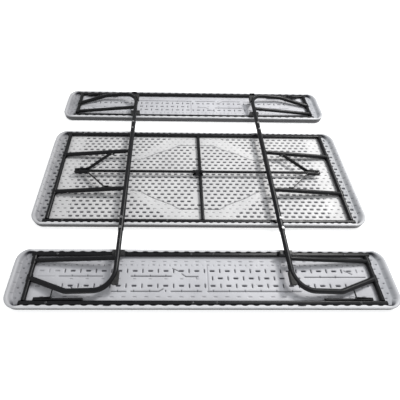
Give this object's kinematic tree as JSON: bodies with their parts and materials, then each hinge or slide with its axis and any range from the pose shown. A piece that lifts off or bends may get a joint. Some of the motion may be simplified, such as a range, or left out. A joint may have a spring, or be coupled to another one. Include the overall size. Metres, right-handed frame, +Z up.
{
  "type": "folding picnic table",
  "caption": "Folding picnic table with two attached benches, folded flat with its undersides up: moulded panels on a hinged steel tube frame with folding braces.",
  "frame": {"origin": "centre of the floor footprint of the folded set, in the plane of the table's eating surface", "axes": "+X along the table to the right end, +Y across it to the far bench, +Z up out of the undersides"},
  "size_m": [1.838, 1.544, 0.0961],
  "materials": {
    "panel_plastic": "pale grey moulded polyethylene, fine texture",
    "black_steel": "satin black powder coat",
    "black_plastic": "black moulded plastic",
    "foot_rubber": "black rubber",
    "plated_steel": "dark plated steel"
  },
  "bodies": {
    "table": {"table_top": "panel_plastic", "table_rail_near": "black_steel", "table_rail_far": "black_steel", "table_end_rail_left": "black_steel", "table_end_rail_right": "black_steel", "table_rail_screws": "plated_steel", "table_crossbar": "black_steel", "brace_bracket": "black_steel"},
    "benches": {"near_seat": "panel_plastic", "near_bench_inner_rail": "black_steel", "near_bench_outer_rail": "black_steel", "near_bench_end_rails": "black_steel", "near_bench_screws": "plated_steel", "near_bench_saddles": "black_plastic", "near_bench_rail_fittings": "black_steel", "far_seat": "panel_plastic", "far_bench_inner_rail": "black_steel", "far_bench_outer_rail": "black_steel", "far_bench_end_rails": "black_steel", "far_bench_screws": "plated_steel", "far_bench_saddles": "black_plastic", "far_bench_rail_fittings": "black_steel"},
    "left_frame": {"left_ground_tube": "black_steel", "left_near_bench_arm": "black_steel", "left_far_bench_arm": "black_steel", "left_bench_struts": "black_steel", "left_inner_tubes": "black_steel", "left_frame_bolts": "plated_steel", "left_foot_pads": "foot_rubber"},
    "left_upright_pair": {"left_uprights": "black_steel", "left_strut_pivots": "plated_steel"},
    "left_rod": {"left_brace_rod": "black_steel"},
    "left_strut": {"left_forked_strut": "black_steel"},
    "left_near_button": {"left_near_snap_button": "plated_steel"},
    "left_near_rail_link": {"left_near_stay_rail_link": "black_steel"},
    "left_near_arm_link": {"left_near_stay_arm_link": "black_steel"},
    "left_far_button": {"left_far_snap_button": "plated_steel"},
    "left_far_rail_link": {"left_far_stay_rail_link": "black_steel"},
    "left_far_arm_link": {"left_far_stay_arm_link": "black_steel"},
    "right_frame": {"right_ground_tube": "black_steel", "right_near_bench_arm": "black_steel", "right_far_bench_arm": "black_steel", "right_bench_struts": "black_steel", "right_inner_tubes": "black_steel", "right_frame_bolts": "plated_steel", "right_foot_pads": "foot_rubber"},
    "right_upright_pair": {"right_uprights": "black_steel", "right_strut_pivots": "plated_steel"},
    "right_rod": {"right_brace_rod": "black_steel"},
    "right_strut": {"right_forked_strut": "black_steel"},
    "right_near_button": {"right_near_snap_button": "plated_steel"},
    "right_near_rail_link": {"right_near_stay_rail_link": "black_steel"},
    "right_near_arm_link": {"right_near_stay_arm_link": "black_steel"},
    "right_far_button": {"right_far_snap_button": "plated_steel"},
    "right_far_rail_link": {"right_far_stay_rail_link": "black_steel"},
    "right_far_arm_link": {"right_far_stay_arm_link": "black_steel"}
  },
  "joints": [
    {"name": "table_height", "type": "slide", "parent": "table", "child": "benches", "axis": [0, 0, 1], "range_m": [0, 0.275]},
    {"name": "left_fold", "type": "hinge", "parent": "benches", "child": "left_frame", "pos_m": [-0.826, 0, 0.037], "axis": [0, -1, 0], "range_deg": [0, 84.3]},
    {"name": "left_upright_fold", "type": "hinge", "parent": "table", "child": "left_upright_pair", "pos_m": [-0.826, 0, 0.037], "axis": [0, -1, 0], "range_deg": [0, 84.3]},
    {"name": "left_rod_swing", "type": "hinge", "parent": "table", "child": "left_rod", "pos_m": [-0.02, 0, 0.0543], "axis": [0, 1, 0], "range_deg": [0, 19.53]},
    {"name": "left_strut_swing", "type": "hinge", "parent": "left_upright_pair", "child": "left_strut", "pos_m": [-0.52449, 0, 0.067], "axis": [0, -1, 0], "range_deg": [0, 72.04]},
    {"name": "left_near_button_press", "type": "slide", "parent": "left_frame", "child": "left_near_button", "axis": [0, -1, 0], "range_m": [-0.004, 0], "stiffness_N_per_m": 400, "springref_m": 0.002},
    {"name": "left_near_rail_link_swing", "type": "hinge", "parent": "benches", "child": "left_near_rail_link", "pos_m": [-0.564, -0.7314, 0.037], "axis": [0, 1, 0], "range_deg": [0, 25.7]},
    {"name": "left_near_arm_link_swing", "type": "hinge", "parent": "left_frame", "child": "left_near_arm_link", "pos_m": [-0.70062, -0.7253, 0.04948], "axis": [0, -1, 0], "range_deg": [0, 60.76]},
    {"name": "left_far_button_press", "type": "slide", "parent": "left_frame", "child": "left_far_button", "axis": [0, 1, 0], "range_m": [-0.004, 0], "stiffness_N_per_m": 400, "springref_m": 0.002},
    {"name": "left_far_rail_link_swing", "type": "hinge", "parent": "benches", "child": "left_far_rail_link", "pos_m": [-0.564, 0.7314, 0.037], "axis": [0, 1, 0], "range_deg": [0, 25.7]},
    {"name": "left_far_arm_link_swing", "type": "hinge", "parent": "left_frame", "child": "left_far_arm_link", "pos_m": [-0.70062, 0.7253, 0.04948], "axis": [0, -1, 0], "range_deg": [0, 60.76]},
    {"name": "right_fold", "type": "hinge", "parent": "benches", "child": "right_frame", "pos_m": [0.826, 0, 0.037], "axis": [0, 1, 0], "range_deg": [0, 84.3]},
    {"name": "right_upright_fold", "type": "hinge", "parent": "table", "child": "right_upright_pair", "pos_m": [0.826, 0, 0.037], "axis": [0, 1, 0], "range_deg": [0, 84.3]},
    {"name": "right_rod_swing", "type": "hinge", "parent": "table", "child": "right_rod", "pos_m": [0.02, 0, 0.0543], "axis": [0, -1, 0], "range_deg": [0, 19.53]},
    {"name": "right_strut_swing", "type": "hinge", "parent": "right_upright_pair", "child": "right_strut", "pos_m": [0.52449, 0, 0.067], "axis": [0, 1, 0], "range_deg": [0, 72.04]},
    {"name": "right_near_button_press", "type": "slide", "parent": "right_frame", "child": "right_near_button", "axis": [0, -1, 0], "range_m": [-0.004, 0], "stiffness_N_per_m": 400, "springref_m": 0.002},
    {"name": "right_near_rail_link_swing", "type": "hinge", "parent": "benches", "child": "right_near_rail_link", "pos_m": [0.564, -0.7314, 0.037], "axis": [0, -1, 0], "range_deg": [0, 25.7]},
    {"name": "right_near_arm_link_swing", "type": "hinge", "parent": "right_frame", "child": "right_near_arm_link", "pos_m": [0.70062, -0.7253, 0.04948], "axis": [0, 1, 0], "range_deg": [0, 60.76]},
    {"name": "right_far_button_press", "type": "slide", "parent": "right_frame", "child": "right_far_button", "axis": [0, 1, 0], "range_m": [-0.004, 0], "stiffness_N_per_m": 400, "springref_m": 0.002},
    {"name": "right_far_rail_link_swing", "type": "hinge", "parent": "benches", "child": "right_far_rail_link", "pos_m": [0.564, 0.7314, 0.037], "axis": [0, -1, 0], "range_deg": [0, 25.7]},
    {"name": "right_far_arm_link_swing", "type": "hinge", "parent": "right_frame", "child": "right_far_arm_link", "pos_m": [0.70062, 0.7253, 0.04948], "axis": [0, 1, 0], "range_deg": [0, 60.76]}
  ],
  "couplings": [
    {"joint": "left_upright_fold", "follows": "left_fold", "ratio": 1},
    {"joint": "left_rod_swing", "follows": "left_fold", "ratio": 0.23155},
    {"joint": "left_strut_swing", "follows": "left_fold", "ratio": 0.85444},
    {"joint": "left_near_rail_link_swing", "follows": "left_fold", "ratio": 0.30471},
    {"joint": "left_near_arm_link_swing", "follows": "left_fold", "ratio": 0.72068},
    {"joint": "left_far_rail_link_swing", "follows": "left_fold", "ratio": 0.30471},
    {"joint": "left_far_arm_link_swing", "follows": "left_fold", "ratio": 0.72068},
    {"joint": "right_upright_fold", "follows": "right_fold", "ratio": 1},
    {"joint": "right_rod_swing", "follows": "right_fold", "ratio": 0.23155},
    {"joint": "right_strut_swing", "follows": "right_fold", "ratio": 0.85444},
    {"joint": "right_near_rail_link_swing", "follows": "right_fold", "ratio": 0.30471},
    {"joint": "right_near_arm_link_swing", "follows": "right_fold", "ratio": 0.72068},
    {"joint": "right_far_rail_link_swing", "follows": "right_fold", "ratio": 0.30471},
    {"joint": "right_far_arm_link_swing", "follows": "right_fold", "ratio": 0.72068}
  ]
}
